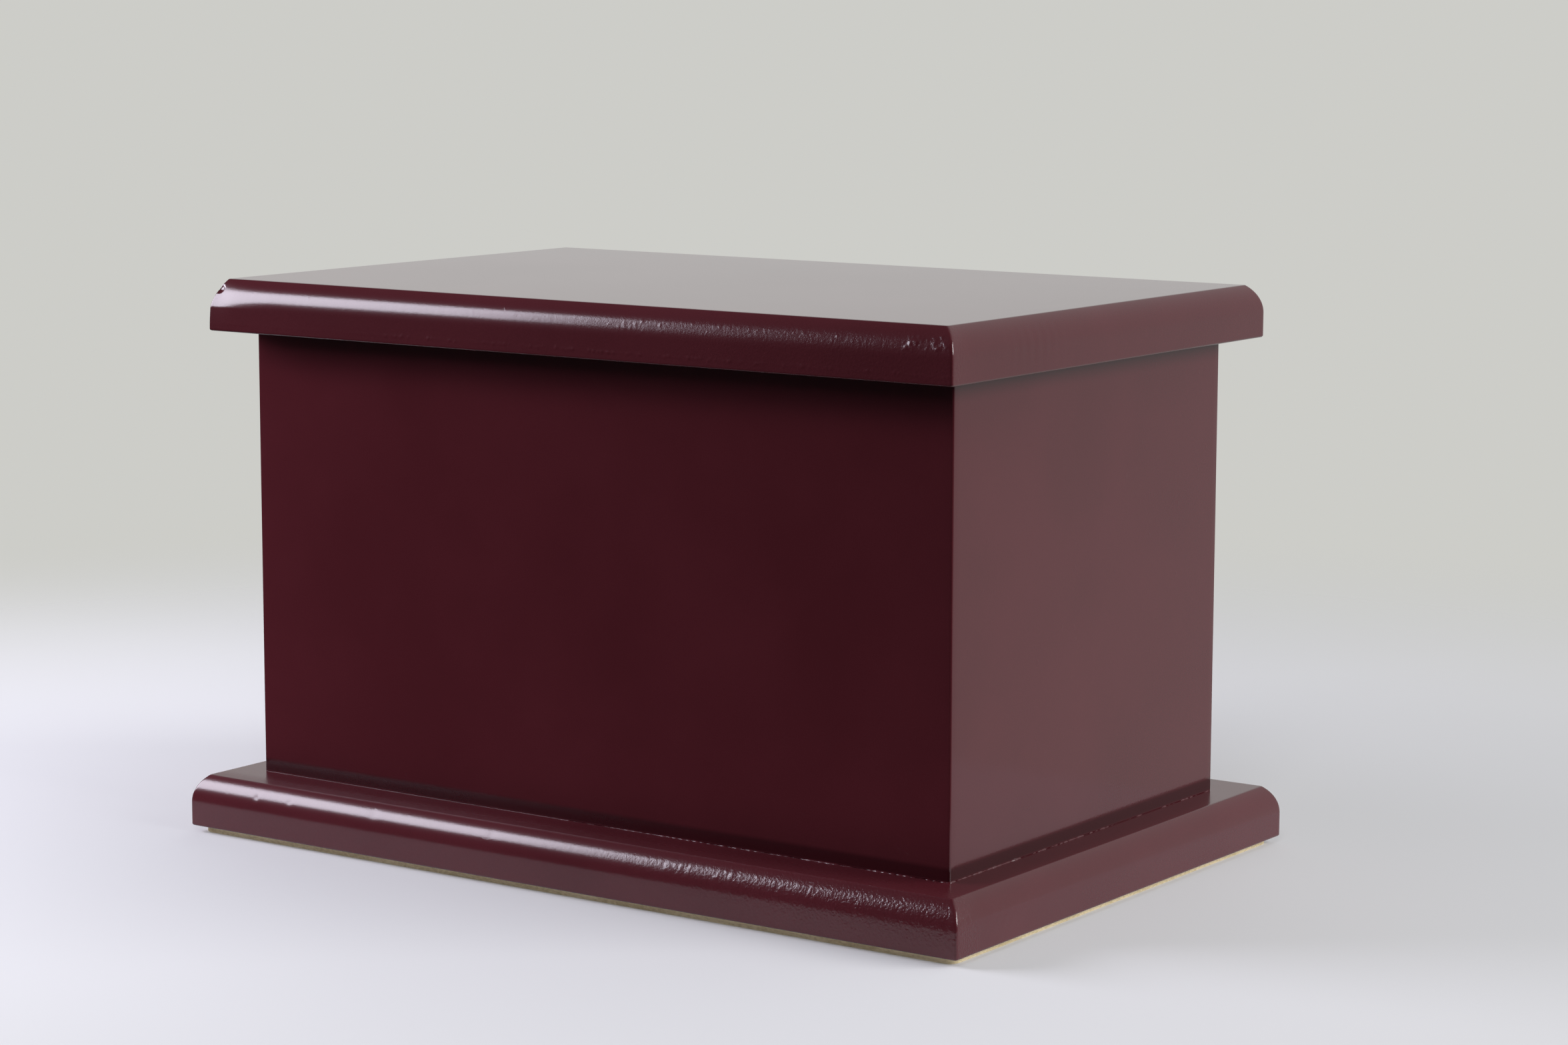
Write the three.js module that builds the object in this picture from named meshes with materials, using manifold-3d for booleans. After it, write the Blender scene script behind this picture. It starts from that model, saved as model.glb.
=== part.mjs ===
// A box-shaped memorial urn in lacquered board: an empty case of four mitred boards under a loose lid,
// on a wider base that stands on a thin pad.
// Millimetres, +Z up. The front faces -Y, and the origin is under the middle of the pad.
import * as THREE from "three";
import { mergeVertices } from "three/addons/utils/BufferGeometryUtils.js";
import Module from "manifold-3d";

// Driving dimensions
const CASE_WIDTH = 240;
const CASE_DEPTH = 140;
const CASE_HEIGHT = 131;
const WALL_THICKNESS = 12;
const LID_WIDTH = 255;
const LID_DEPTH = 165;
const BASE_WIDTH = 267;
const BASE_DEPTH = 175;
const BOARD_THICKNESS = 15;
const EDGE_DROP = 8; // height of the arc along the upper edges of the lid and the base
const EDGE_INSET = 4; // how far that arc sets the flat top in from the board's face
const LOWER_BEVEL = 1; // broken lower edge of the lid and the base
const PAD_THICKNESS = 2;
const PAD_INSET = 2.5;
const PAD_CORNER_RADIUS = 3;

// The worn spot is a shallow scoop on the mitre crease at the lid's front left corner.
const WORN_RADIUS = 4;
const WORN_DEPTH = 1;
const WORN_ANGLE = THREE.MathUtils.degToRad(33); // up the arc from its lower end

// Facets
const ARC_STEPS = 10;
const SCOOP_STEPS = 16;
const PROFILE_OVERRUN = 2; // a profile runs past the board's ends before the two are intersected
const MERGE_TOLERANCE = 1e-4; // vertices closer than this are one

// The edge arc is upright at its lower end and meets the flat top at a blunt angle
const EDGE_RADIUS = (EDGE_DROP ** 2 + EDGE_INSET ** 2) / (2 * EDGE_INSET);
const EDGE_ANGLE = Math.asin(EDGE_DROP / EDGE_RADIUS);
const EDGE_FOOT = BOARD_THICKNESS - EDGE_DROP;

// Heights at which the pieces rest on each other
const BASE_BOTTOM = PAD_THICKNESS;
const CASE_BOTTOM = BASE_BOTTOM + BOARD_THICKNESS;
const LID_BOTTOM = CASE_BOTTOM + CASE_HEIGHT;

const wasm = await Module();
wasm.setup();

// A closed three.js geometry as a solid that can be cut
function solidFrom(geometry) {
  const bare = geometry.clone();
  bare.deleteAttribute("normal");
  bare.deleteAttribute("uv");
  const merged = mergeVertices(bare, MERGE_TOLERANCE);
  const mesh = new wasm.Mesh({
    numProp: 3,
    vertProperties: merged.attributes.position.array,
    triVerts: new Uint32Array(merged.index.array),
  });
  return new wasm.Manifold(mesh);
}

// A cut solid back as a three.js geometry with flat facets
function geometryFrom(solid) {
  const mesh = solid.getMesh();
  const shared = new THREE.BufferGeometry();
  shared.setAttribute("position", new THREE.BufferAttribute(mesh.vertProperties, 3));
  shared.setIndex(new THREE.BufferAttribute(mesh.triVerts, 1));
  const facets = shared.toNonIndexed();
  facets.computeVertexNormals();
  return facets;
}

// Cross-section of a lid or base board: upright below, arcs above
function boardProfile(width) {
  const half = width / 2;
  const shape = new THREE.Shape();
  shape.moveTo(-half + LOWER_BEVEL, 0);
  shape.lineTo(half - LOWER_BEVEL, 0);
  shape.lineTo(half, LOWER_BEVEL);
  shape.absarc(half - EDGE_RADIUS, EDGE_FOOT, EDGE_RADIUS, 0, EDGE_ANGLE);
  shape.absarc(-half + EDGE_RADIUS, EDGE_FOOT, EDGE_RADIUS, Math.PI - EDGE_ANGLE, Math.PI);
  shape.lineTo(-half, LOWER_BEVEL);
  shape.closePath();
  return shape;
}

// A profile across X, run along Y and centred on the origin
function profileAlongY(shape, length) {
  const geometry = new THREE.ExtrudeGeometry(shape, {
    depth: length,
    bevelEnabled: false,
    curveSegments: ARC_STEPS,
  });
  geometry.rotateX(Math.PI / 2);
  geometry.translate(0, length / 2, 0);
  return geometry;
}

// A board with all four upper edges rounded, so that the arcs meet in mitre creases at its corners
function roundedBoard(width, depth) {
  const across = profileAlongY(boardProfile(width), depth + PROFILE_OVERRUN);
  const along = profileAlongY(boardProfile(depth), width + PROFILE_OVERRUN);
  along.rotateZ(Math.PI / 2);
  return solidFrom(across).intersect(solidFrom(along));
}

// A scoop that bites into the front left corner of a rounded board
function cornerScoop(width, depth) {
  const inward = EDGE_RADIUS * (1 - Math.cos(WORN_ANGLE));
  const crease = new THREE.Vector3(
    -width / 2 + inward,
    -depth / 2 + inward,
    EDGE_FOOT + EDGE_RADIUS * Math.sin(WORN_ANGLE),
  );
  const outward = new THREE.Vector3(-1, -1, Math.tan(WORN_ANGLE)).normalize();
  const centre = crease.addScaledVector(outward, WORN_RADIUS - WORN_DEPTH);
  const scoop = new THREE.SphereGeometry(WORN_RADIUS, SCOOP_STEPS, SCOOP_STEPS / 2);
  scoop.translate(centre.x, centre.y, centre.z);
  return solidFrom(scoop);
}

// One side of the case: its outer face lies on y = 0 and its mitred ends slope inwards
function mitredBoard(length) {
  const half = length / 2;
  const plan = new THREE.Shape();
  plan.moveTo(-half, 0);
  plan.lineTo(half, 0);
  plan.lineTo(half - WALL_THICKNESS, WALL_THICKNESS);
  plan.lineTo(-half + WALL_THICKNESS, WALL_THICKNESS);
  plan.closePath();
  return new THREE.ExtrudeGeometry(plan, { depth: CASE_HEIGHT, bevelEnabled: false });
}

// The pad's outline follows the base, set in and with small round corners
function padGeometry() {
  const halfWidth = BASE_WIDTH / 2 - PAD_INSET;
  const halfDepth = BASE_DEPTH / 2 - PAD_INSET;
  const r = PAD_CORNER_RADIUS;
  const outline = new THREE.Shape();
  outline.moveTo(halfWidth, halfDepth - r);
  outline.absarc(halfWidth - r, halfDepth - r, r, 0, Math.PI / 2);
  outline.absarc(-halfWidth + r, halfDepth - r, r, Math.PI / 2, Math.PI);
  outline.absarc(-halfWidth + r, -halfDepth + r, r, Math.PI, Math.PI * 1.5);
  outline.absarc(halfWidth - r, -halfDepth + r, r, Math.PI * 1.5, Math.PI * 2);
  return new THREE.ExtrudeGeometry(outline, {
    depth: PAD_THICKNESS,
    bevelEnabled: false,
    curveSegments: ARC_STEPS / 2,
  });
}

function lacquer() {
  return new THREE.MeshStandardMaterial({ color: 0x5a1822, roughness: 0.28, metalness: 0 });
}

function felt() {
  return new THREE.MeshStandardMaterial({ color: 0x9c8864, roughness: 0.95, metalness: 0 });
}

const urn = new THREE.Group();

function addPiece(name, geometry, material, z) {
  const mesh = new THREE.Mesh(geometry, material);
  mesh.name = name;
  mesh.position.z = z;
  urn.add(mesh);
  return mesh;
}

addPiece("underside_pad", padGeometry(), felt(), 0);
addPiece("base_board", geometryFrom(roundedBoard(BASE_WIDTH, BASE_DEPTH)), lacquer(), BASE_BOTTOM);

// Each side of the case is turned about Z from the front, with its outer face at the given distance
const SIDES = [
  { name: "front_board", length: CASE_WIDTH, distance: CASE_DEPTH / 2, quarterTurns: 0 },
  { name: "right_board", length: CASE_DEPTH, distance: CASE_WIDTH / 2, quarterTurns: 1 },
  { name: "back_board", length: CASE_WIDTH, distance: CASE_DEPTH / 2, quarterTurns: 2 },
  { name: "left_board", length: CASE_DEPTH, distance: CASE_WIDTH / 2, quarterTurns: 3 },
];
for (const { name, length, distance, quarterTurns } of SIDES) {
  const board = addPiece(name, mitredBoard(length), lacquer(), CASE_BOTTOM);
  const turn = (quarterTurns * Math.PI) / 2;
  board.rotation.z = turn;
  board.position.x = distance * Math.sin(turn);
  board.position.y = -distance * Math.cos(turn);
}

const wornLid = roundedBoard(LID_WIDTH, LID_DEPTH).subtract(cornerScoop(LID_WIDTH, LID_DEPTH));
addPiece("lid", geometryFrom(wornLid), lacquer(), LID_BOTTOM);

export default urn;
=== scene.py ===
# A box-shaped memorial urn in burgundy lacquer, dressed over its solids: boards with softened edges,
# dents, grooves and specks, a bead of lacquer along the seam at the case's foot, and a felt pad.
# Metres, +Z up. The front faces -Y.
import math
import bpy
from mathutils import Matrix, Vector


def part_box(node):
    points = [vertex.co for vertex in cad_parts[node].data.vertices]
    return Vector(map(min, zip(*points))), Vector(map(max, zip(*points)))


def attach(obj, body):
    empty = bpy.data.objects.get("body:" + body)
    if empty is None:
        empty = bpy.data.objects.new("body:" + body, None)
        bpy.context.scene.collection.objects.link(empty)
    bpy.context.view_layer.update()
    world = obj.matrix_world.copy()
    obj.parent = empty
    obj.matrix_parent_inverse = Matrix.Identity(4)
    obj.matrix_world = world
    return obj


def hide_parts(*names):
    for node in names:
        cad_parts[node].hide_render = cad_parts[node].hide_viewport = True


bl_info = {
    "name": "Memorial urn",
    "version": (1, 0, 0),
    "blender": (4, 5, 0),
    "location": "View3D > Sidebar > Urn",
    "description": "Makes the lacquered boards, the seam and the pad of a box-shaped memorial urn",
    "category": "Object",
}

import bpy
import numpy as np
from bpy.props import FloatProperty, FloatVectorProperty, PointerProperty
from mathutils import Matrix, Quaternion, Vector, geometry

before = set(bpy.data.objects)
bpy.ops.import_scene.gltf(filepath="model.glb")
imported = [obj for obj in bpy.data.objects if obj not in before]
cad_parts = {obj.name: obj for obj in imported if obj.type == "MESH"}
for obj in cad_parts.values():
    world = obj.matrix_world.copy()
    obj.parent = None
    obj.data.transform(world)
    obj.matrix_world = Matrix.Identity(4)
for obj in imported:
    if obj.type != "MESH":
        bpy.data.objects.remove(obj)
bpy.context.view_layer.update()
MM = 0.001

# The solids' places, from which everything else is worked out
LID_LOW, LID_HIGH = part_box("lid")
BASE_LOW, BASE_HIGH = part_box("base_board")
PAD_LOW, PAD_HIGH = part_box("underside_pad")
FRONT_LOW, FRONT_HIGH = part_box("front_board")
CASE_HALF_WIDTH = FRONT_HIGH.x
CASE_HALF_DEPTH = -FRONT_LOW.y
CASE_BOTTOM = FRONT_LOW.z
CASE_TOP = FRONT_HIGH.z
WALL_THICKNESS = FRONT_HIGH.y - FRONT_LOW.y

# Steps of the meshes. EDGE_STEPS run along the front, right, back and left edges of the lid and the base.
EDGE_STEPS = (0.4 * MM, 0.8 * MM, 2 * MM, 2 * MM)
PAD_STEPS = (1.2 * MM, 1.2 * MM, 1.2 * MM, 1.2 * MM)
SEAM_STEP = 0.45 * MM
TOP_STEP = 6 * MM
UNDERSIDE_STEP = 14 * MM
CASE_STEP = 3 * MM
CORNER_STEPS = 6
LOWER_STEPS = 6
UPRIGHT_STEPS = 20
ARC_STEPS = 26
ARRIS_STEPS = 5
INSIDE_STEPS = 8
FILL_TOLERANCE = 0.001  # in millimetres
FLAT_RIM = 2 * MM  # flat strip inside a softened edge
TOP_RIM = 0.8 * MM  # flat strip inside a softened arris
SHARP_ANGLE = math.radians(40)

# The floor is whole near the urn and has faded out at its reach. Only its near part shows in the lacquer.
FLOOR_SOLID = 0.22
FLOOR_REACH = 0.66
FLOOR_NEAR_X = 0.26
FLOOR_NEAR_Y = 0.128
FLOOR_GLOW = 0.14

# Brightness of the surroundings
WORLD_FRONT = 0.03
WORLD_BEHIND = 0.575
WORLD_LEFTWARDS = 0.08  # how much brighter they grow towards the left
WORLD_ABOVE = 0.05
FRONT_TINT = (0.95, 0.97, 1.05, 1.0)
BEHIND_TINT = (1.0, 1.0, 0.985, 1.0)

SENSOR_WIDTH = 36.0  # in millimetres
CLIP_START = 0.05

# Lights: direction in degrees from the front and up, distance and size in metres, roll in degrees, colour
KEY_LIGHT = {
    "azimuth": -61.5,
    "elevation": 26.2,
    "distance": 0.81,
    "size": (0.60, 0.27),
    "roll": 23.3,
    "colour": (0.90, 0.87, 1.0),
}
FILL_LIGHT = {
    "azimuth": 105,
    "elevation": 27,
    "distance": 2.2,
    "size": (1.6, 1.0),
    "roll": 0.0,
    "colour": (1.0, 0.98, 1.0),
}
FRONT_LIGHT = {
    "azimuth": 30,
    "elevation": 42,
    "distance": 1.8,
    "size": (0.5, 0.5),
    "roll": 0.0,
    "colour": (1.0, 1.0, 1.0),
}

# Grain of the lacquer: scales of its random patterns, per metre
CLOUD_SCALE = 22.0
FLECK_SCALE = 2600.0
PEEL_SCALE = 1250.0
NIB_SCALE = 420.0
RUBBING_SCALES = (30.0, 700.0, 700.0)
COARSE_PEEL = 9.0
GRAIN_HEIGHT = 0.012 * MM
LACQUER_IOR = 1.52
FOOT_SHADE_COVER = 0.75  # how far the colour goes over to the painted shade along the case's foot
FOOT_SHADE = 0.3  # that painted shade as a share of the deep lacquer

# Stretches in metres over which the lacquer changes
EDGE_END = (-0.082, -0.074)  # from the front edges backwards
RIGHT_END = (0.0, 0.12)  # from the middle to the right
UPPER_PART = (0.05, 0.10)  # from the base up to the lid
# Where the painted shade along the case's foot starts and ends, in height
FOOT_SHADE_START = (0.01705, 0.0176)
FOOT_SHADE_END = (0.0200, 0.0216)
LEDGE_START = (0.0165, 0.0169)
LEDGE_END = (0.0172, 0.0176)

# Grain of the felt
FIBRE_SCALES = (900.0, 900.0, 2600.0)
STAIN_SCALE = 45.0
FIBRE_HEIGHT = 0.12 * MM

# Unevenness of the boards, the seam and the pad
LONG_SWELL = 0.03 * MM
SHORT_SWELL = 0.004 * MM
BOARD_WAVES = (90 * MM, 17 * MM)
CASE_WAVES = (120 * MM, 22 * MM)
CHATTER_HEIGHT = 0.0035 * MM
CHATTER_WAVES = (2.1, 2.9, 4.3, 6.7)  # in millimetres
RIPPLE_HEIGHT = 0.012 * MM
BEAD_HEIGHT = 0.012 * MM
BEAD_WAVE = 14 * MM
FRONT_FADE = 6 * MM
CASE_BROKEN_EDGE = 0.2 * MM
PAD_SOFTENING = 0.35 * MM
PAD_CORNER = 3 * MM
PAD_RAGGED = 0.12 * MM
PAD_WAVES = (6 * MM, 2.5 * MM)
SEAM_WAVES = (9 * MM, 2.2 * MM)

# Seeds of the random relief
SEEDS = {
    "lid": (1, 2),
    "lid_chatter": 3,
    "lid_bead": 4,
    "lid_specks": 11,
    "base": (5, 6),
    "base_chatter": 7,
    "base_specks": 21,
    "case_long": 30,
    "case_short": 40,
    "seam": (51, 52),
    "pad": (61, 62),
}

# Marks on the front edges, in millimetres: place along the edge and height above the floor, then a dent's
# radius and depth, or the slant in degrees, length, width and depth of a crack or groove
LID_CRACK = (-110.2, 161.2, 8, 2.2, 0.35, 0.09)
BASE_DENTS = (
    (-108.3, 13.4, 0.9, 0.12),
    (-95.5, 13.6, 0.8, 0.08),
    (-63.5, 14.0, 1.4, 0.06),
    (-20.0, 14.6, 1.6, 0.04),
    (130.0, 10.4, 1.3, 0.05),
)
BASE_GROOVES = (
    (40.2, 14.4, 24, 2.6, 0.9, 0.06),
    (44.6, 13.9, 22, 2.4, 0.7, 0.07),
    (47.6, 13.9, 20, 2.0, 0.8, 0.07),
    (57.0, 13.6, 26, 1.8, 0.7, 0.05),
    (61.2, 14.2, 12, 1.8, 0.8, 0.07),
    (71.8, 13.9, 28, 2.0, 0.7, 0.05),
    (77.6, 13.2, 34, 1.7, 0.6, 0.08),
    (80.6, 12.7, 36, 1.4, 0.6, 0.07),
    (86.8, 13.4, 16, 1.3, 0.6, 0.07),
    (88.3, 12.0, 40, 1.4, 0.6, 0.09),
    (102.6, 13.1, 30, 1.5, 0.6, 0.08),
    (106.4, 12.7, 22, 1.0, 0.6, 0.06),
)
GROOVE_STRENGTH = 0.85

# Specks: number, then ranges along the edge, of height and of size, and greatest rise, in millimetres
LID_SPECKS = (
    (120, (20, 127), (156.5, 161), (0.3, 0.45), 0.04),
    (70, (113, 127), (157, 160.6), (0.3, 0.5), 0.10),
)
LID_BEAD_SPECKS = (90, (-60, 127), (150.1, 150.7), (0.25, 0.4), 0.11)
BASE_SPECKS = (420, (30, 132), (10.5, 15.0), (0.3, 0.5), 0.03)

# The lid's bead: height above its lower edge and half width, in millimetres
LID_BEAD = (2.4, 0.3)

# Ripples on the right edges: place, height, reach along and up, slant in degrees and wavelength
LID_RIPPLES = (-42, 156, 14, 6, 0, 4.1)
BASE_RIPPLES = (-65, 8, 9, 6, 38, 3.3)

# The lid's front left corner: where it is worn, how far and how deep, where sanding starts and is full,
# and the chips with their radii, in millimetres
LID_WORN = (1.5, 1.5, 11)
LID_WEAR_REACH = 6.0
LID_WEAR_DEPTH = 0.6
WEAR_SLOPE = 0.35
LID_SANDED = (-102, -125)
SANDED_SHARE = 0.38
LID_CHIPS = (
    ((-127.8, -82.8, 161.7), 4),
    ((-124.6, -81.3, 160.7), 1.9),
)


class UrnSizes(bpy.types.PropertyGroup):
    """Sizes of the mouldings and of the softened edges"""

    edge_drop: FloatProperty(
        name="Edge drop",
        description="Height of the arc along the upper edges of the lid and the base",
        default=8 * MM,
        unit="LENGTH",
    )
    edge_inset: FloatProperty(
        name="Edge inset",
        description="How far that arc sets the flat top in from the board's face",
        default=4 * MM,
        unit="LENGTH",
    )
    arris_round: FloatProperty(
        name="Arris round",
        description="Radius of the softened arris where the arc meets the flat top",
        default=0.7 * MM,
        unit="LENGTH",
    )
    lower_round: FloatProperty(
        name="Lower round",
        description="Radius of the softened lower edge of the lid and the base",
        default=0.6 * MM,
        unit="LENGTH",
    )
    crease_round: FloatProperty(
        name="Crease round",
        description="Radius of the sanded creases at the corners of the lid and the base",
        default=0.7 * MM,
        unit="LENGTH",
    )
    case_round: FloatProperty(
        name="Case round",
        description="Radius of the case's upright edges",
        default=0.7 * MM,
        unit="LENGTH",
    )
    seam_bead: FloatProperty(
        name="Seam bead",
        description="Greatest width of the lacquer pooled along the seam at the case's foot",
        default=0.7 * MM,
        unit="LENGTH",
    )


class UrnFinish(bpy.types.PropertyGroup):
    """Colours and gloss of the finishes"""

    lacquer: FloatVectorProperty(
        name="Lacquer",
        description="Burgundy of the lacquer",
        default=(0.091, 0.0148, 0.0208),
        subtype="COLOR",
        size=3,
    )
    lacquer_deep: FloatVectorProperty(
        name="Deep lacquer",
        description="Burgundy where the coat lies thicker",
        default=(0.077, 0.0117, 0.0167),
        subtype="COLOR",
        size=3,
    )
    roughness: FloatProperty(
        name="Roughness",
        description="Roughness of the rubbed lacquer",
        default=0.085,
        subtype="FACTOR",
    )
    felt: FloatVectorProperty(
        name="Felt",
        description="Tan of the pad",
        default=(0.84, 0.72, 0.46),
        subtype="COLOR",
        size=3,
    )
    felt_dark: FloatVectorProperty(
        name="Dark felt",
        description="Olive between the pad's fibres",
        default=(0.62, 0.51, 0.28),
        subtype="COLOR",
        size=3,
    )


class UrnStage(bpy.types.PropertyGroup):
    """Floor, lights and camera"""

    floor: FloatVectorProperty(
        name="Floor",
        description="Colour of the floor",
        default=(0.69, 0.70, 0.71),
        subtype="COLOR",
        size=3,
    )
    backdrop: FloatVectorProperty(
        name="Backdrop",
        description="Plain colour behind the floor",
        default=(0.61, 0.61, 0.58),
        subtype="COLOR",
        size=3,
    )
    key_power: FloatProperty(
        name="Key power",
        description="Power of the soft key light at the front left, in watts",
        default=6.35,
    )
    fill_power: FloatProperty(
        name="Fill power",
        description="Power of the soft fill light at the right, in watts",
        default=37.0,
    )
    front_power: FloatProperty(
        name="Front power",
        description="Power of the weak light in front of the urn, in watts",
        default=4.4,
    )
    lens: FloatProperty(
        name="Lens",
        description="Focal length of the camera in millimetres, on a sensor 36 mm wide",
        default=87.08,
    )
    azimuth: FloatProperty(
        name="Azimuth",
        description="How far the camera stands round to the right of the front",
        default=math.radians(35.139),
        subtype="ANGLE",
    )
    elevation: FloatProperty(
        name="Elevation",
        description="How far the camera looks down",
        default=math.radians(8.274),
        subtype="ANGLE",
    )
    roll: FloatProperty(
        name="Roll",
        description="Tilt of the camera about its own axis",
        default=math.radians(0.141),
        subtype="ANGLE",
    )
    distance: FloatProperty(
        name="Distance",
        description="From the camera to the point that it looks at",
        default=1098.1 * MM,
        unit="LENGTH",
    )
    aim_height: FloatProperty(
        name="Aim height",
        description="Height of the point that the camera looks at",
        default=93.16 * MM,
        unit="LENGTH",
    )
    aim_side: FloatProperty(
        name="Aim side",
        description="How far that point lies to the right of the urn's middle, across the view",
        default=14.69 * MM,
        unit="LENGTH",
    )


class Value:
    """A number on a socket: sums with it add Math nodes to its tree."""

    def __init__(self, nodes, socket):
        self.nodes = nodes
        self.socket = socket

    def _math(self, operation, first, second):
        return self.nodes.add("ShaderNodeMath", {"operation": operation}, {0: first, 1: second})

    def __add__(self, other):
        return self._math("ADD", self, other)

    def __radd__(self, other):
        return self._math("ADD", other, self)

    def __rsub__(self, other):
        return self._math("SUBTRACT", other, self)

    def __mul__(self, other):
        return self._math("MULTIPLY", self, other)

    def __rmul__(self, other):
        return self._math("MULTIPLY", other, self)


class Nodes:
    """The node tree of a material or of the world, filled node by node."""

    def __init__(self, tree):
        self.tree = tree
        tree.nodes.clear()

    def add(self, kind, settings=None, sockets=None, output=0):
        """Adds a node, sets it up, fills or links its sockets and gives one of its outputs."""
        node = self.tree.nodes.new(kind)
        for name, value in (settings or {}).items():
            setattr(node, name, value)
        for name, value in (sockets or {}).items():
            if isinstance(value, Value):
                self.tree.links.new(value.socket, node.inputs[name])
            else:
                node.inputs[name].default_value = value
        return Value(self, node.outputs[output]) if node.outputs else None

    def blend(self, factor, first, second):
        """A colour between two others."""
        settings = {"data_type": "RGBA", "clamp_factor": True}
        return self.add("ShaderNodeMix", settings, {0: factor, 6: first, 7: second}, 2)

    def noise(self, coordinates, scale, detail=2.0, roughness=0.5):
        """A smooth random number from 0 to 1 over the surface."""
        sockets = {"Vector": coordinates, "Scale": scale, "Detail": detail, "Roughness": roughness}
        return self.add("ShaderNodeTexNoise", None, sockets)

    def stretched(self, coordinates, factors):
        """Coordinates scaled apart along each axis."""
        return self.add("ShaderNodeVectorMath", {"operation": "MULTIPLY"}, {0: coordinates, 1: factors})

    def rise(self, value, low, high):
        """A smooth step from 0 at low to 1 at high."""
        settings = {"interpolation_type": "SMOOTHSTEP"}
        sockets = {"Value": value, "From Min": low, "From Max": high}
        return self.add("ShaderNodeMapRange", settings, sockets)

    def parts(self, vector):
        """The x, y and z of a vector."""
        split = self.add("ShaderNodeSeparateXYZ", None, {0: vector})
        outputs = split.socket.node.outputs
        return [Value(self, outputs[axis]) for axis in ("X", "Y", "Z")]


def opaque(colour):
    """A colour with full alpha."""
    return (colour[0], colour[1], colour[2], 1.0)


def new_material(name):
    """An empty node material and its tree."""
    material = bpy.data.materials.new(name)
    material.use_nodes = True
    return material, Nodes(material.node_tree)


def lacquer_material(finish):
    """Semi-gloss burgundy lacquer with orange peel, dust nibs, faint rubbing marks and painted shade along
    the case's foot.
    """
    found = bpy.data.materials.get("burgundy_lacquer")
    if found:
        return found
    material, nodes = new_material("burgundy_lacquer")
    place = nodes.add("ShaderNodeTexCoord", None, None, "Object")
    x, y, z = nodes.parts(place)
    clouds = nodes.noise(place, CLOUD_SCALE, 3.0)
    flecks = nodes.noise(place, FLECK_SCALE, 1.0)
    peel = nodes.noise(place, PEEL_SCALE)
    rubbing = nodes.noise(nodes.stretched(place, RUBBING_SCALES), 1.0)
    nibs = nodes.rise(nodes.noise(place, NIB_SCALE, 1.0), 0.74, 0.80)

    # The coat is coarser along the front edges, most of all near the right end and on the base.
    edge = 1 - nodes.rise(y, *EDGE_END)
    lifted = nodes.rise(z, *UPPER_PART)
    coarse = nodes.rise(x, *RIGHT_END) * edge * (1 - 0.45 * lifted)

    # Along the case's foot the colour is darkened with painted shade and painted reflection, and the ledge
    # in front of it is dull.
    foot = nodes.rise(z, *FOOT_SHADE_START) * (1 - nodes.rise(z, *FOOT_SHADE_END))
    ledge = nodes.rise(z, *LEDGE_START) * (1 - nodes.rise(z, *LEDGE_END))

    thick = nodes.rise(0.65 * clouds + 0.35 * flecks, 0.32, 0.68)
    coat = nodes.blend(thick, opaque(finish.lacquer), opaque(finish.lacquer_deep))
    # The dark colour mixed in at the case's foot is painted shade and painted reflection.
    dark = [FOOT_SHADE * channel for channel in finish.lacquer_deep]
    colour = nodes.blend(FOOT_SHADE_COVER * foot, coat, opaque(dark))
    roughness = finish.roughness - 0.02 + 0.03 * clouds + 0.02 * rubbing + 0.10 * edge + 0.12 * ledge
    height = (0.8 + COARSE_PEEL * coarse) * peel + (0.12 + 0.8 * edge) * flecks
    height = height + 0.9 * nibs + 0.15 * rubbing
    grain = {"Strength": 1.0, "Distance": GRAIN_HEIGHT, "Height": height}
    sockets = {
        "Base Color": colour,
        "Roughness": roughness,
        "IOR": LACQUER_IOR,
        "Normal": nodes.add("ShaderNodeBump", None, grain),
    }
    surface = nodes.add("ShaderNodeBsdfPrincipled", None, sockets)
    nodes.add("ShaderNodeOutputMaterial", None, {"Surface": surface})
    return material


def felt_material(finish):
    """Matt tan felt with short fibres."""
    material, nodes = new_material("tan_felt")
    place = nodes.add("ShaderNodeTexCoord", None, None, "Object")
    fibres = nodes.noise(nodes.stretched(place, FIBRE_SCALES), 1.0, 3.0)
    stains = nodes.noise(place, STAIN_SCALE)
    shade = nodes.rise(0.6 * fibres + 0.4 * stains, 0.36, 0.62)
    colour = nodes.blend(shade, opaque(finish.felt_dark), opaque(finish.felt))
    grain = {"Strength": 0.8, "Distance": FIBRE_HEIGHT, "Height": fibres}
    sockets = {
        "Base Color": colour,
        "Roughness": 0.92 + 0.06 * fibres,
        "Sheen Weight": 0.25,
        "Normal": nodes.add("ShaderNodeBump", None, grain),
    }
    surface = nodes.add("ShaderNodeBsdfPrincipled", None, sockets)
    nodes.add("ShaderNodeOutputMaterial", None, {"Surface": surface})
    return material


def floor_material(stage):
    """Plain pale floor that fades into the backdrop away from the urn."""
    material, nodes = new_material("pale_floor")
    place = nodes.add("ShaderNodeTexCoord", None, None, "Object")
    drift = nodes.noise(place, 3.0)
    pale = [0.97 * channel for channel in stage.floor]
    colour = nodes.blend(drift, opaque(stage.floor), opaque(pale))
    away = nodes.add("ShaderNodeVectorMath", {"operation": "LENGTH"}, {0: place}, "Value")
    fade = 1 - nodes.rise(away, FLOOR_SOLID, FLOOR_REACH)
    sockets = {
        "Base Color": colour,
        "Roughness": 0.9,
        "Specular IOR Level": 0.1,
        "Alpha": fade,
        "Emission Color": colour,
        "Emission Strength": FLOOR_GLOW,
    }
    surface = nodes.add("ShaderNodeBsdfPrincipled", None, sockets)
    nodes.add("ShaderNodeOutputMaterial", None, {"Surface": surface})
    return material


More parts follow.
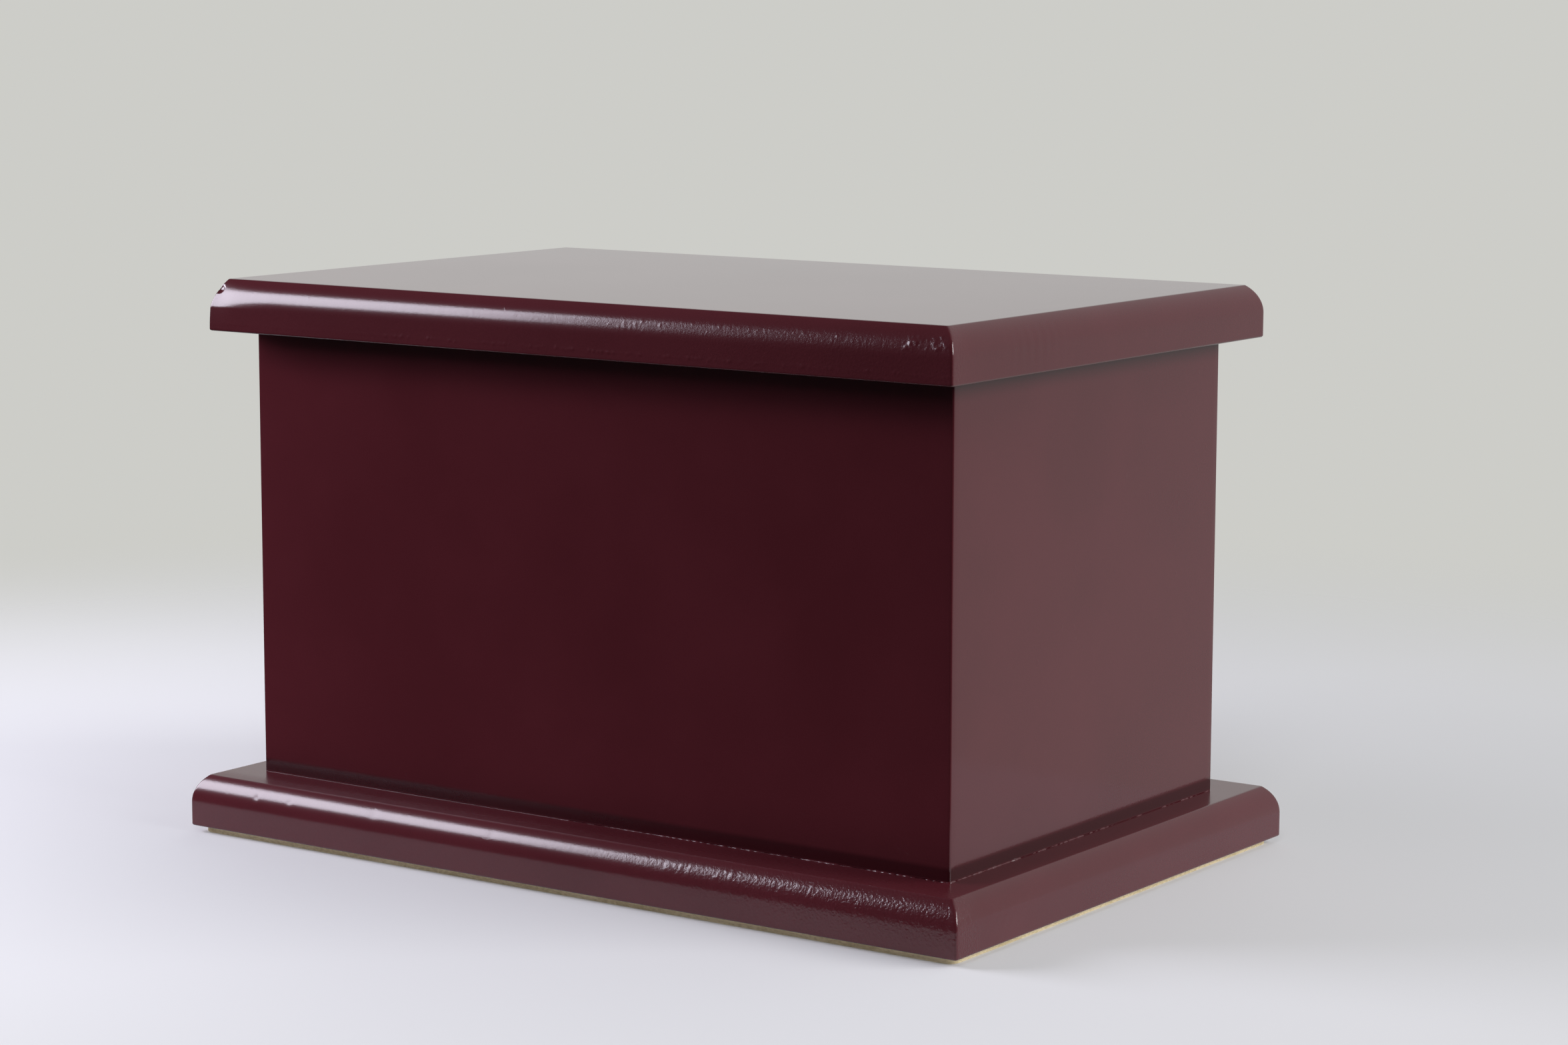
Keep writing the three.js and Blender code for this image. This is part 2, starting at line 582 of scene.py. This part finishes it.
def outline(half_x, half_y, radius, counts):
    """A rectangle with round corners, anticlockwise from the left end of its front side."""
    parts = []
    for quarter, count in enumerate(counts):
        turn = quarter * math.pi / 2
        along = np.array([math.cos(turn), math.sin(turn)])
        outward = np.array([math.sin(turn), -math.cos(turn)])
        reach, run = (half_x, half_y) if quarter % 2 else (half_y, half_x)
        run = run - radius
        shares = np.arange(count) / count * 2 - 1
        parts.append(np.outer(shares * run, along) + reach * outward)
        angles = turn - math.pi / 2 + np.arange(CORNER_STEPS) / CORNER_STEPS * math.pi / 2
        centre = run * along + (reach - radius) * outward
        parts.append(centre + radius * np.stack([np.cos(angles), np.sin(angles)], 1))
    return np.concatenate(parts)


def moulded_profile(thickness, sizes):
    """Inset and height up the edge of a lid or base board, from its underside to its flat top."""
    drop, inset = sizes.edge_drop, sizes.edge_inset
    radius = (drop**2 + inset**2) / (2 * inset)
    foot = thickness - drop
    lower, arris = sizes.lower_round, sizes.arris_round
    points = [(lower + FLAT_RIM, 0.0)]
    for angle in np.linspace(0, math.pi / 2, LOWER_STEPS):
        points.append((lower - lower * math.sin(angle), lower - lower * math.cos(angle)))
    for height in np.linspace(lower, foot, UPRIGHT_STEPS)[1:]:
        points.append((0.0, height))
    # The softened arris is a small circle inside the arc that also touches the flat top.
    meeting = math.asin((drop - arris) / (radius - arris))
    for angle in np.linspace(0, meeting, ARC_STEPS)[1:]:
        points.append((radius - radius * math.cos(angle), foot + radius * math.sin(angle)))
    centre = radius - (radius - arris) * math.cos(meeting)
    for angle in np.linspace(meeting, math.pi / 2, ARRIS_STEPS)[1:]:
        points.append((centre - arris * math.cos(angle), thickness - arris + arris * math.sin(angle)))
    points.append((centre + TOP_RIM, thickness))
    return points


def slab_profile(thickness, softening):
    """Inset and height up the edge of a plain slab with both edges softened alike."""
    points = [(softening + FLAT_RIM, 0.0)]
    for angle in np.linspace(0, math.pi / 2, LOWER_STEPS):
        points.append((softening * (1 - math.sin(angle)), softening * (1 - math.cos(angle))))
    for height in np.linspace(softening, thickness - softening, LOWER_STEPS)[1:-1]:
        points.append((0.0, height))
    for angle in np.linspace(0, math.pi / 2, LOWER_STEPS):
        points.append((softening * (1 - math.cos(angle)), thickness - softening * (1 - math.sin(angle))))
    points.append((softening + FLAT_RIM, thickness))
    return points


def fill_ring(points, first, count, step, upward):
    """Fills a flat ring of points with an even mesh. Gives the points added and the faces."""
    ring = points[first : first + count]
    low, high = ring.min(0), ring.max(0)
    grid_x = np.arange(low[0] + step, high[0] - step / 2, step)
    grid_y = np.arange(low[1] + step, high[1] - step / 2, step)
    inner = np.array([(x, y, low[2]) for x in grid_x for y in grid_y])
    flat = [Vector((p[0], p[1])) / MM for p in np.concatenate([ring, inner])]
    loop = [(i, (i + 1) % count) for i in range(count)]
    made = geometry.delaunay_2d_cdt(flat, loop, [], 1, FILL_TOLERANCE)
    numbers = []
    for sources in made[3]:
        source = sources[0]
        numbers.append(first + source if source < count else len(points) + source - count)
    faces = [tuple(numbers[i] for i in face) for face in made[2]]
    if not upward:
        faces = [face[::-1] for face in faces]
    return inner, faces


def slab_mesh(low, high, profile, corner, steps):
    """Points and faces of a rectangular slab whose edge follows a profile."""
    half = (high - low) / 2
    middle = (high + low) / 2
    lengths = (2 * half.x, 2 * half.y, 2 * half.x, 2 * half.y)
    counts = [round(length / step) for length, step in zip(lengths, steps)]
    rings = []
    for inset, height in profile:
        ring = outline(half.x - inset, half.y - inset, corner, counts) + (middle.x, middle.y)
        rings.append(np.column_stack([ring, np.full(len(ring), low.z + height)]))
    count = len(rings[0])
    points = np.concatenate(rings)
    faces = []
    for level in range(len(rings) - 1):
        below, above = level * count, (level + 1) * count
        for i in range(count):
            after = (i + 1) % count
            faces.append((below + i, below + after, above + after, above + i))
    for first, step, upward in ((0, UNDERSIDE_STEP, False), (len(points) - count, TOP_STEP, True)):
        inner, cap = fill_ring(points, first, count, step, upward)
        points = np.concatenate([points, inner])
        faces += cap
    return points, faces


def new_mesh(name, points, faces):
    """A smooth-shaded mesh that keeps its hard edges hard."""
    mesh = bpy.data.meshes.new(name)
    mesh.from_pydata([tuple(p) for p in points], [], faces)
    mesh.polygons.foreach_set("use_smooth", [True] * len(mesh.polygons))
    mesh.set_sharp_from_angle(angle=SHARP_ANGLE)
    mesh.update()
    return mesh


def normals_of(mesh):
    """The normal at each vertex."""
    normals = np.empty(len(mesh.vertices) * 3, np.float32)
    mesh.vertex_normals.foreach_get("vector", normals)
    return normals.reshape(-1, 3).astype(float)


def set_points(mesh, points):
    """Moves a mesh's vertices."""
    mesh.vertices.foreach_set("co", points.astype(np.float32).ravel())
    mesh.update()


def add_piece(name, mesh, material, replaced=()):
    """Puts a mesh in the scene as a piece of the urn."""
    mesh.materials.append(material)
    piece = bpy.data.objects.new(name, mesh)
    bpy.context.scene.collection.objects.link(piece)
    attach(piece, "root")
    if replaced:
        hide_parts(*replaced)


def swell(points, wavelength, seed, waves=20):
    """A smooth random height of about -1 to 1 at each point, with hills about one wavelength apart."""
    random = np.random.default_rng(seed)
    directions = random.normal(size=(waves, 3))
    directions /= np.linalg.norm(directions, axis=1, keepdims=True)
    phases = random.uniform(0, 2 * math.pi, waves)
    total = np.sin(points @ directions.T * (2 * math.pi / wavelength) + phases).sum(1)
    return total / math.sqrt(2 * waves)


def unevenness(points, waves, seeds):
    """Slow and quick unevenness of a board."""
    slow = LONG_SWELL * swell(points, waves[0], seeds[0])
    return slow + SHORT_SWELL * swell(points, waves[1], seeds[1])


def front_offsets(points, mark_x, mark_z):
    """How far each point lies from a mark on a front edge: along the edge, and up it."""
    return points[:, 0] - mark_x * MM, points[:, 2] - mark_z * MM


def on_front(points, face_y):
    """1 on the front edge, fading to 0 behind it."""
    return np.clip(1 - (points[:, 1] - face_y) / FRONT_FADE, 0, 1)


def dent(points, x, z, radius, depth):
    """A round hollow."""
    along, up = front_offsets(points, x, z)
    return -depth * MM * np.exp(-(along**2 + up**2) / (radius * MM) ** 2)


def groove(points, x, z, slant, length, width, depth):
    """A short groove beside a raised lip. It runs up the edge and leans right by the slant in degrees."""
    along, up = front_offsets(points, x, z)
    lean = math.radians(slant)
    run = up * math.cos(lean) + along * math.sin(lean)
    across = (along * math.cos(lean) - up * math.sin(lean)) / (width * MM)
    return depth * MM * GROOVE_STRENGTH * across * np.exp(-(across**2) - (run / (length * MM)) ** 2)


def nibs(points, random, count, x_range, z_range, sizes, height):
    """Specks of dust caught in the lacquer, scattered over a stretch of a front edge."""
    total = np.zeros(len(points))
    for _ in range(count):
        x = random.uniform(*x_range) * MM
        z = random.uniform(*z_range) * MM
        size = random.uniform(*sizes) * MM
        rise = random.uniform(0.4, 1.0) * height * MM
        near = np.flatnonzero(np.abs(points[:, 0] - x) < 3 * size)
        spread = (points[near, 0] - x) ** 2 + (points[near, 2] - z) ** 2
        total[near] += rise * np.exp(-spread / size**2)
    return total


def chatter(points, seed):
    """Fine uneven ripples along a front edge, left by the cutter that shaped it."""
    random = np.random.default_rng(seed)
    total = np.zeros(len(points))
    for wavelength in CHATTER_WAVES:
        phase = random.uniform(0, 2 * math.pi)
        total += np.sin(points[:, 0] * 2 * math.pi / (wavelength * MM) + phase)
    return total / len(CHATTER_WAVES)


def ripples(points, face_x, y, z, reach_y, reach_z, slant, wavelength):
    """Faint ripples over a stretch of a right edge, leaning back by the slant in degrees."""
    along, up = points[:, 1] - y * MM, points[:, 2] - z * MM
    lean = math.radians(slant)
    phase = (along * math.cos(lean) - up * math.sin(lean)) * 2 * math.pi / (wavelength * MM)
    window = np.exp(-((along / (reach_y * MM)) ** 2) - (up / (reach_z * MM)) ** 2)
    return np.sin(phase) * window * (points[:, 0] > face_x - 2 * MM)


def wear_corner(points, corner, reach, depth):
    """How far points move where a corner has been rubbed round, towards the middle of the board."""
    away = np.linalg.norm(points - np.array(corner), axis=1) / (reach * MM)
    inward = np.array([1.0, 1.0, -WEAR_SLOPE]) / math.sqrt(2 + WEAR_SLOPE**2)
    return np.outer(depth * MM * np.exp(-(away**2)), inward)


def scoop(points, centre, radius):
    """Points inside a sphere move out to its surface, as where a chip has broken away."""
    offset = points - np.array(centre)
    distance = np.linalg.norm(offset, axis=1, keepdims=True)
    return np.where(distance < radius, centre + offset / distance * radius, points)


def sanded(points, low, high, sizes, start, end):
    """How far the front arc is sanded down towards its chord, growing from start to end along the edge."""
    drop, inset = sizes.edge_drop, sizes.edge_inset
    radius = (drop**2 + inset**2) / (2 * inset)
    middle = math.asin(drop / radius) / 2
    angle = np.arcsin(np.clip((points[:, 2] - high.z + drop) / radius, 0, drop / radius))
    sagitta = radius * (np.cos(angle - middle) - math.cos(middle))
    share = np.clip((points[:, 0] / MM - start) / (end - start), 0, 1)
    share = share * share * (3 - 2 * share)
    return -SANDED_SHARE * sagitta * share * (points[:, 1] < low.y + inset + 0.3 * MM)


class UrnLid(bpy.types.Operator):
    """Makes the lid, with its worn corner, crack and bead of lacquer"""

    bl_idname = "urn.lid"
    bl_label = "Lid"

    def execute(self, context):
        sizes = context.scene.urn_sizes
        profile = moulded_profile(LID_HIGH.z - LID_LOW.z, sizes)
        points, faces = slab_mesh(LID_LOW, LID_HIGH, profile, sizes.crease_round, EDGE_STEPS)
        mesh = new_mesh("lid_lacquered", points, faces)
        normals = normals_of(mesh)
        random = np.random.default_rng(SEEDS["lid_specks"])
        front = on_front(points, LID_LOW.y)
        height = unevenness(points, BOARD_WAVES, SEEDS["lid"])
        height += CHATTER_HEIGHT * front * chatter(points, SEEDS["lid_chatter"])
        height += front * groove(points, *LID_CRACK)
        height += RIPPLE_HEIGHT * ripples(points, LID_HIGH.x, *LID_RIPPLES)
        height += sanded(points, LID_LOW, LID_HIGH, sizes, *LID_SANDED)
        for specks in LID_SPECKS:
            height += front * nibs(points, random, *specks)
        # A faint bead stands above the lower edge, with specks along it.
        middle, reach = LID_BEAD
        bead = np.exp(-(((points[:, 2] - LID_LOW.z) / MM - middle) / reach) ** 2)
        height += BEAD_HEIGHT * front * bead * (1 + swell(points, BEAD_WAVE, SEEDS["lid_bead"]))
        height += front * nibs(points, random, *LID_BEAD_SPECKS)
        points = points + normals * height[:, None]
        corner = np.array(LID_LOW) + np.array(LID_WORN) * MM
        points = points + wear_corner(points, corner, LID_WEAR_REACH, LID_WEAR_DEPTH)
        for centre, radius in LID_CHIPS:
            points = scoop(points, np.array(centre) * MM, radius * MM)
        set_points(mesh, points)
        lacquer = lacquer_material(context.scene.urn_finish)
        add_piece("lid_lacquered", mesh, lacquer, ["lid"])
        return {"FINISHED"}


class UrnBase(bpy.types.Operator):
    """Makes the base board, with the dents and grooves along its front edge"""

    bl_idname = "urn.base"
    bl_label = "Base"

    def execute(self, context):
        sizes = context.scene.urn_sizes
        profile = moulded_profile(BASE_HIGH.z - BASE_LOW.z, sizes)
        points, faces = slab_mesh(BASE_LOW, BASE_HIGH, profile, sizes.crease_round, EDGE_STEPS)
        mesh = new_mesh("base_lacquered", points, faces)
        normals = normals_of(mesh)
        random = np.random.default_rng(SEEDS["base_specks"])
        front = on_front(points, BASE_LOW.y)
        height = unevenness(points, BOARD_WAVES, SEEDS["base"])
        height += CHATTER_HEIGHT * front * chatter(points, SEEDS["base_chatter"])
        for mark in BASE_DENTS:
            height += front * dent(points, *mark)
        for mark in BASE_GROOVES:
            height += front * groove(points, *mark)
        height += RIPPLE_HEIGHT * ripples(points, BASE_HIGH.x, *BASE_RIPPLES)
        height += front * nibs(points, random, *BASE_SPECKS)
        set_points(mesh, points + normals * height[:, None])
        lacquer = lacquer_material(context.scene.urn_finish)
        add_piece("base_lacquered", mesh, lacquer, ["base_board"])
        return {"FINISHED"}


def case_board_mesh(name, half_length, sizes):
    """A mitred board of the case. Its outer face lies on y = 0, and y grows inwards."""
    radius = sizes.case_round
    angles = np.linspace(math.pi / 4, math.pi / 2, CORNER_STEPS)
    right = []
    for a in angles:
        right.append((half_length - radius + radius * math.cos(a), radius - radius * math.sin(a)))
    count = round(2 * half_length / CASE_STEP)
    straight = [(half_length * (1 - 2 * i / count), 0.0) for i in range(1, count)]
    left = [(-x, y) for x, y in reversed(right)]
    inner = half_length - WALL_THICKNESS
    inside = []
    for i in range(INSIDE_STEPS + 1):
        inside.append((-inner + 2 * inner * i / INSIDE_STEPS, WALL_THICKNESS))
    plan = np.array(right + straight + left + inside)[::-1]
    size = len(plan)
    # The lowest ring is drawn in a little along the outer face.
    outer = (plan[:, 1] < WALL_THICKNESS / 2).astype(float)
    drawn_in = plan[:, 1] + CASE_BROKEN_EDGE * outer
    rings = [np.column_stack([plan[:, 0], drawn_in, np.full(size, CASE_BOTTOM)])]
    levels = round((CASE_TOP - CASE_BOTTOM) / CASE_STEP)
    for z in np.linspace(CASE_BOTTOM + CASE_BROKEN_EDGE, CASE_TOP, levels):
        rings.append(np.column_stack([plan, np.full(size, z)]))
    points = np.concatenate(rings)
    faces = []
    for level in range(len(rings) - 1):
        below, above = level * size, (level + 1) * size
        for i in range(size):
            after = (i + 1) % size
            faces.append((below + i, below + after, above + after, above + i))
    faces.append(tuple(range(size))[::-1])
    faces.append(tuple(range((len(rings) - 1) * size, len(rings) * size)))
    return new_mesh(name, points, faces)


class UrnCase(bpy.types.Operator):
    """Makes the four mitred boards of the case"""

    bl_idname = "urn.case"
    bl_label = "Case"

    def execute(self, context):
        sizes = context.scene.urn_sizes
        lacquer = lacquer_material(context.scene.urn_finish)
        sides = ("front_board", "right_board", "back_board", "left_board")
        for quarter, node in enumerate(sides):
            spans = (CASE_HALF_WIDTH, CASE_HALF_DEPTH)
            half_length, distance = spans if quarter % 2 == 0 else spans[::-1]
            mesh = case_board_mesh(node + "_lacquered", half_length, sizes)
            turn = Matrix.Rotation(quarter * math.pi / 2, 4, "Z")
            mesh.transform(turn @ Matrix.Translation((0, -distance, 0)))
            points = np.array([v.co for v in mesh.vertices])
            seeds = (SEEDS["case_long"] + quarter, SEEDS["case_short"])
            bow = unevenness(points, CASE_WAVES, seeds)
            set_points(mesh, points + normals_of(mesh) * bow[:, None])
            add_piece(node + "_lacquered", mesh, lacquer, [node])
        return {"FINISHED"}


class UrnSeam(bpy.types.Operator):
    """Makes the uneven bead of lacquer along the seam at the case's foot"""

    bl_idname = "urn.seam"
    bl_label = "Foot seam"

    def execute(self, context):
        sizes = context.scene.urn_sizes
        halves = (CASE_HALF_WIDTH, CASE_HALF_DEPTH, CASE_HALF_WIDTH, CASE_HALF_DEPTH)
        counts = [round(2 * half / SEAM_STEP) for half in halves]
        path = outline(CASE_HALF_WIDTH, CASE_HALF_DEPTH, sizes.case_round, counts)
        outer = outline(CASE_HALF_WIDTH + MM, CASE_HALF_DEPTH + MM, sizes.case_round + MM, counts)
        outward = (outer - path) / MM
        place = np.column_stack([path, np.zeros(len(path))])
        slow, quick = (swell(place, *pair) for pair in zip(SEAM_WAVES, SEEDS["seam"]))
        flow = 0.6 * slow + 0.6 * quick
        # The bead is a faint line at the left of the front and breaks up into clots towards the right.
        unrest = np.clip((path[:, 0] / CASE_HALF_WIDTH + 0.3) / 1.3, 0, 1)
        back = np.clip(path[:, 1] / CASE_HALF_DEPTH + 0.6, 0, 1)
        share = 0.07 + unrest * (0.5 * flow + 0.2 - 0.3 * back)
        width = sizes.seam_bead * np.clip(share, 0.03, 1.0)
        # Section of the bead, outwards and upwards as shares of its width
        sections = ((-0.6, 0.0), (0.0, 1.0), (0.5, 0.75), (0.85, 0.35), (1.0, 0.0))
        rings = []
        for out, up in sections:
            ring = path + outward * (out * width)[:, None]
            rings.append(np.column_stack([ring, CASE_BOTTOM + up * width]))
        points = np.concatenate(rings)
        size = len(path)
        faces = []
        for level in range(len(rings)):
            below, above = ((level + 1) % len(rings)) * size, level * size
            for i in range(size):
                after = (i + 1) % size
                faces.append((below + i, below + after, above + after, above + i))
        mesh = new_mesh("foot_seam", points, faces)
        add_piece("foot_seam", mesh, lacquer_material(context.scene.urn_finish))
        return {"FINISHED"}


class UrnPad(bpy.types.Operator):
    """Makes the felt pad under the base"""

    bl_idname = "urn.pad"
    bl_label = "Pad"

    def execute(self, context):
        profile = slab_profile(PAD_HIGH.z - PAD_LOW.z, PAD_SOFTENING)
        points, faces = slab_mesh(PAD_LOW, PAD_HIGH, profile, PAD_CORNER, PAD_STEPS)
        mesh = new_mesh("pad_felt", points, faces)
        slow, quick = (swell(points, *pair) for pair in zip(PAD_WAVES, SEEDS["pad"]))
        edge = np.clip(slow + 0.5 * quick, -1.5, 1.5)
        inward = -normals_of(mesh) * (1, 1, 0)
        set_points(mesh, points + inward * (PAD_RAGGED * (1.5 + edge))[:, None])
        felt = felt_material(context.scene.urn_finish)
        add_piece("pad_felt", mesh, felt, ["underside_pad"])
        return {"FINISHED"}


def studio_world(stage):
    """Plain pale surroundings: bright behind the urn and at its right, dim in front of it."""
    world = bpy.data.worlds.new("studio")
    world.use_nodes = True
    bpy.context.scene.world = world
    nodes = Nodes(world.node_tree)
    direction = nodes.add("ShaderNodeTexCoord", None, None, "Generated")
    x, y, z = nodes.parts(direction)
    behind = nodes.rise(y + 0.25 * x, 0.05, 0.6)
    above = nodes.rise(z, 0.4, 0.8)
    level = WORLD_FRONT + (WORLD_BEHIND - WORLD_LEFTWARDS * x) * behind + WORLD_ABOVE * above * (1 - behind)
    seen = nodes.add("ShaderNodeLightPath", None, None, "Is Camera Ray")
    tint = nodes.blend(behind, FRONT_TINT, BEHIND_TINT)
    lit = nodes.add("ShaderNodeBackground", None, {"Color": tint, "Strength": level})
    backdrop = {"Color": opaque(stage.backdrop), "Strength": 1.0}
    plain = nodes.add("ShaderNodeBackground", None, backdrop)
    mixed = nodes.add("ShaderNodeMixShader", None, {0: seen, 1: lit, 2: plain})
    nodes.add("ShaderNodeOutputWorld", None, {"Surface": mixed})


def compass(azimuth, elevation):
    """A direction from the urn, in degrees round from the front towards the right and up."""
    a, e = math.radians(azimuth), math.radians(elevation)
    return Vector((math.sin(a) * math.cos(e), -math.cos(a) * math.cos(e), math.sin(e)))


def soft_light(name, setting, power, mirrored=True):
    """A rectangular soft light that faces the urn, turned about its own axis, and isn't seen itself."""
    light = bpy.data.lights.new(name, "AREA")
    light.shape = "RECTANGLE"
    light.size, light.size_y = setting["size"]
    light.energy = power
    light.color = setting["colour"]
    lamp = bpy.data.objects.new(name, light)
    lamp.visible_camera = False
    lamp.visible_glossy = mirrored
    towards = compass(setting["azimuth"], setting["elevation"])
    lamp.location = towards * setting["distance"]
    turn = Quaternion((0, 0, 1), math.radians(setting["roll"]))
    lamp.rotation_euler = (towards.to_track_quat("Z", "Y") @ turn).to_euler()
    bpy.context.scene.collection.objects.link(lamp)


def rectangle(half_x, half_y):
    """Corners of a flat rectangle on the ground."""
    return [(-half_x, -half_y, 0), (half_x, -half_y, 0), (half_x, half_y, 0), (-half_x, half_y, 0)]


def floor_piece(name, points, faces, material, mirrored):
    """A flat part of the floor."""
    mesh = bpy.data.meshes.new(name)
    mesh.from_pydata(points, [], faces)
    mesh.materials.append(material)
    floor = bpy.data.objects.new(name, mesh)
    floor.visible_glossy = mirrored
    floor.visible_diffuse = mirrored
    bpy.context.scene.collection.objects.link(floor)


def place_camera(stage):
    """Sets the camera where the urn is seen from its right front corner."""
    back = compass(math.degrees(stage.azimuth), math.degrees(stage.elevation))
    level = (-back).cross(Vector((0, 0, 1))).normalized()
    upright = level.cross(-back)
    cosine, sine = math.cos(stage.roll), math.sin(stage.roll)
    right = cosine * level + sine * upright
    up = cosine * upright - sine * level
    place = Vector((0, 0, stage.aim_height)) + right * stage.aim_side + back * stage.distance
    camera = bpy.data.objects.new("camera", bpy.data.cameras.new("camera"))
    camera.data.lens = stage.lens
    camera.data.sensor_width = SENSOR_WIDTH
    camera.data.clip_start = CLIP_START
    camera.matrix_world = Matrix((right, up, back)).transposed().to_4x4()
    camera.location = place
    bpy.context.scene.collection.objects.link(camera)
    bpy.context.scene.camera = camera


class UrnStaging(bpy.types.Operator):
    """Makes the floor, the lights and the camera"""

    bl_idname = "urn.stage"
    bl_label = "Stage"

    def execute(self, context):
        stage = context.scene.urn_stage
        studio_world(stage)
        material = floor_material(stage)
        corners = rectangle(FLOOR_NEAR_X, FLOOR_NEAR_Y)
        rim = rectangle(FLOOR_REACH, FLOOR_REACH)
        around = [(4, 5, 1, 0), (5, 6, 2, 1), (6, 7, 3, 2), (7, 4, 0, 3)]
        floor_piece("floor_near", corners, [(0, 1, 2, 3)], material, True)
        floor_piece("floor_far", corners + rim, around, material, False)
        soft_light("key", KEY_LIGHT, stage.key_power)
        soft_light("fill", FILL_LIGHT, stage.fill_power)
        soft_light("front", FRONT_LIGHT, stage.front_power, False)
        place_camera(stage)
        context.scene.view_settings.view_transform = "Standard"
        return {"FINISHED"}


class UrnPanel(bpy.types.Panel):
    """Lists the urn's pieces and sizes"""

    bl_idname = "VIEW3D_PT_urn"
    bl_label = "Memorial urn"
    bl_space_type = "VIEW_3D"
    bl_region_type = "UI"
    bl_category = "Urn"

    def draw(self, context):
        for settings in (context.scene.urn_sizes, context.scene.urn_finish, context.scene.urn_stage):
            box = self.layout.box()
            for name in settings.bl_rna.properties.keys():
                if name not in ("rna_type", "name"):
                    box.prop(settings, name)
        for operator in OPERATORS:
            self.layout.operator(operator.bl_idname)


SETTINGS = {"urn_sizes": UrnSizes, "urn_finish": UrnFinish, "urn_stage": UrnStage}
OPERATORS = (UrnPad, UrnBase, UrnCase, UrnSeam, UrnLid, UrnStaging)


def register():
    """Registers the settings, the operators and the panel."""
    for name, group in SETTINGS.items():
        bpy.utils.register_class(group)
        setattr(bpy.types.Scene, name, PointerProperty(type=group))
    for operator in (*OPERATORS, UrnPanel):
        bpy.utils.register_class(operator)


def unregister():
    """Takes them out again."""
    for operator in (UrnPanel, *OPERATORS):
        bpy.utils.unregister_class(operator)
    for name, group in SETTINGS.items():
        delattr(bpy.types.Scene, name)
        bpy.utils.unregister_class(group)


def main():
    """Makes every piece and the stage."""
    register()
    bpy.ops.urn.pad()
    bpy.ops.urn.base()
    bpy.ops.urn.case()
    bpy.ops.urn.seam()
    bpy.ops.urn.lid()
    bpy.ops.urn.stage()
    bpy.context.view_layer.update()


if __name__ == "__main__":
    main()
